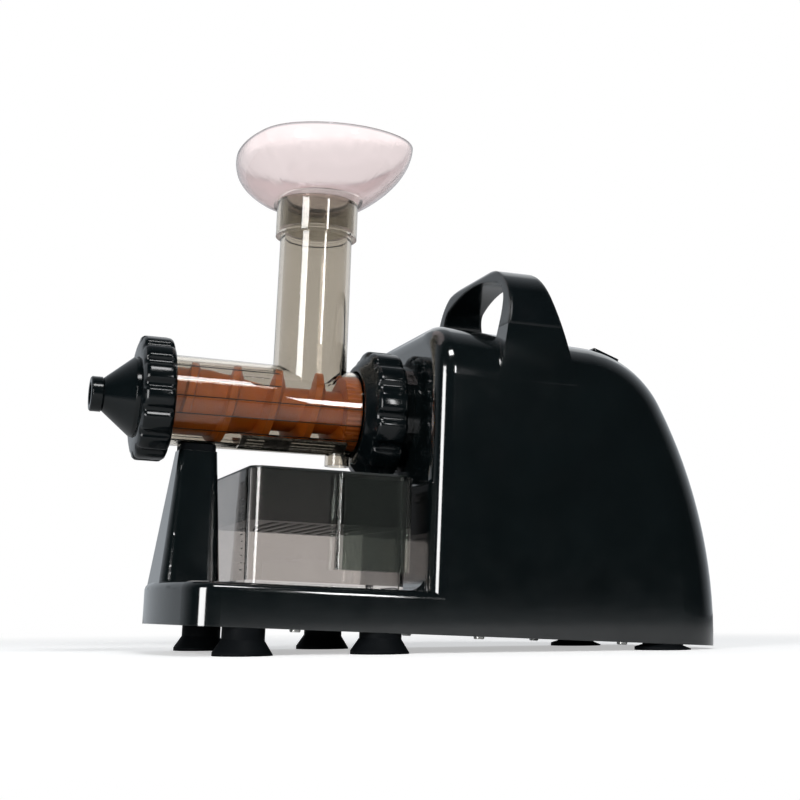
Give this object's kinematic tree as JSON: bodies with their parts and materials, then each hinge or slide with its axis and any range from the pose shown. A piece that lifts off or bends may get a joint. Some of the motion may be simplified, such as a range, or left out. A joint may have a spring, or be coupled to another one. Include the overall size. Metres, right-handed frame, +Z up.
{
  "type": "cold press juicer",
  "caption": "Black horizontal cold press juicer with a clear auger barrel, a feed chute and bowl, and a juice jug in its bay.",
  "frame": {"origin": "middle of the footprint, on the surface that the feet stand on", "axes": "+X from the pulp nozzle towards the motor, +Y towards the back of the machine, +Z up"},
  "size_m": [0.417, 0.175, 0.3425],
  "materials": {
    "black_housing": "glossy moulded plastic, near black",
    "black_trim": "glossy moulded plastic, near black",
    "smoky_clear": "clear smoky plastic",
    "hopper_clear": "clear plastic, faintly pink",
    "jug_clear": "clear smoky plastic",
    "strainer_grey": "dark moulded plastic",
    "orange_auger": "orange moulded plastic",
    "black_rubber": "matt black rubber",
    "steel": "plain steel",
    "cast_alloy": "die cast alloy",
    "winding_copper": "enamelled copper wire",
    "gear_nylon": "natural nylon"
  },
  "bodies": {
    "machine": {"main_housing": "black_housing", "carry_handle": "black_trim", "bottom_cover": "black_trim", "cover_screws": "steel", "front_feet": "black_rubber", "middle_feet": "black_rubber", "rear_feet": "black_rubber", "drive_boss": "black_housing", "post_saddle": "black_rubber", "switch_bezel": "black_housing", "cord_gland": "black_rubber", "gear_case": "gear_nylon", "gear_lid": "gear_nylon", "idler_axle": "steel", "output_bearings": "steel", "motor_stator": "steel", "motor_windings": "winding_copper", "motor_end_plates": "cast_alloy", "motor_bearings": "steel", "motor_cradle": "black_rubber"},
    "rotor": {"rotor_core": "steel", "motor_shaft": "steel", "motor_pinion": "gear_nylon", "cooling_fan": "gear_nylon"},
    "idler": {"idler_gear": "gear_nylon"},
    "output": {"output_shaft": "steel", "output_gear": "gear_nylon"},
    "rocker": {"power_rocker": "black_trim"},
    "barrel": {"auger_barrel": "smoky_clear", "juice_screen": "steel", "barrel_seal": "black_rubber", "end_cone": "black_trim"},
    "auger_set": {"auger": "orange_auger", "auger_shaft": "steel"},
    "end_nut_ring": {"end_nut": "black_trim"},
    "nozzle": {"pulp_nozzle": "black_trim"},
    "lock_nut_ring": {"lock_nut": "black_trim"},
    "hopper_bowl": {"hopper": "hopper_clear"},
    "jug": {"juice_jug": "jug_clear", "strainer_frame": "strainer_grey", "strainer_net": "strainer_grey"}
  },
  "joints": [
    {"name": "motor_spin", "type": "hinge", "parent": "machine", "child": "rotor", "pos_m": [0.08401, 0, 0.08557], "axis": [0.9989, 0, -0.0459], "continuous": true},
    {"name": "idler_spin", "type": "hinge", "parent": "machine", "child": "idler", "pos_m": [0.02545, 0, 0.11829], "axis": [0.9989, 0, -0.0459], "continuous": true},
    {"name": "output_spin", "type": "hinge", "parent": "machine", "child": "output", "pos_m": [0.01718, 0, 0.15621], "axis": [0.9989, 0, -0.0459], "continuous": true},
    {"name": "rocker_tilt", "type": "hinge", "parent": "machine", "child": "rocker", "pos_m": [0.13453, -0.038, 0.19709], "axis": [0.9283, 0, -0.3719], "range_deg": [-8, 8]},
    {"name": "barrel_pull", "type": "slide", "parent": "machine", "child": "barrel", "axis": [-0.9989, 0, 0.0459], "range_m": [0, 0.07]},
    {"name": "auger_spin", "type": "hinge", "parent": "barrel", "child": "auger_set", "pos_m": [-0.06273, 0, 0.15988], "axis": [0.9989, 0, -0.0459], "continuous": true},
    {"name": "end_nut_turn", "type": "hinge", "parent": "barrel", "child": "end_nut_ring", "pos_m": [-0.16762, 0, 0.1647], "axis": [0.9989, 0, -0.0459], "range_deg": [0, 270]},
    {"name": "nozzle_turn", "type": "hinge", "parent": "barrel", "child": "nozzle", "pos_m": [-0.20358, 0, 0.16635], "axis": [0.9989, 0, -0.0459], "range_deg": [0, 180]},
    {"name": "lock_nut_turn", "type": "hinge", "parent": "barrel", "child": "lock_nut_ring", "pos_m": [-0.01478, 0, 0.15768], "axis": [0.9989, 0, -0.0459], "range_deg": [0, 90]},
    {"name": "hopper_lift", "type": "slide", "parent": "barrel", "child": "hopper_bowl", "axis": [0.0459, 0, 0.9989], "range_m": [0, 0.06]},
    {"name": "jug_slide", "type": "slide", "parent": "machine", "child": "jug", "axis": [0, -1, 0], "range_m": [0, 0.15]}
  ],
  "couplings": [
    {"joint": "idler_spin", "follows": "motor_spin", "ratio": -0.25},
    {"joint": "output_spin", "follows": "motor_spin", "ratio": 0.0625},
    {"joint": "auger_spin", "follows": "motor_spin", "ratio": 0.0625}
  ]
}
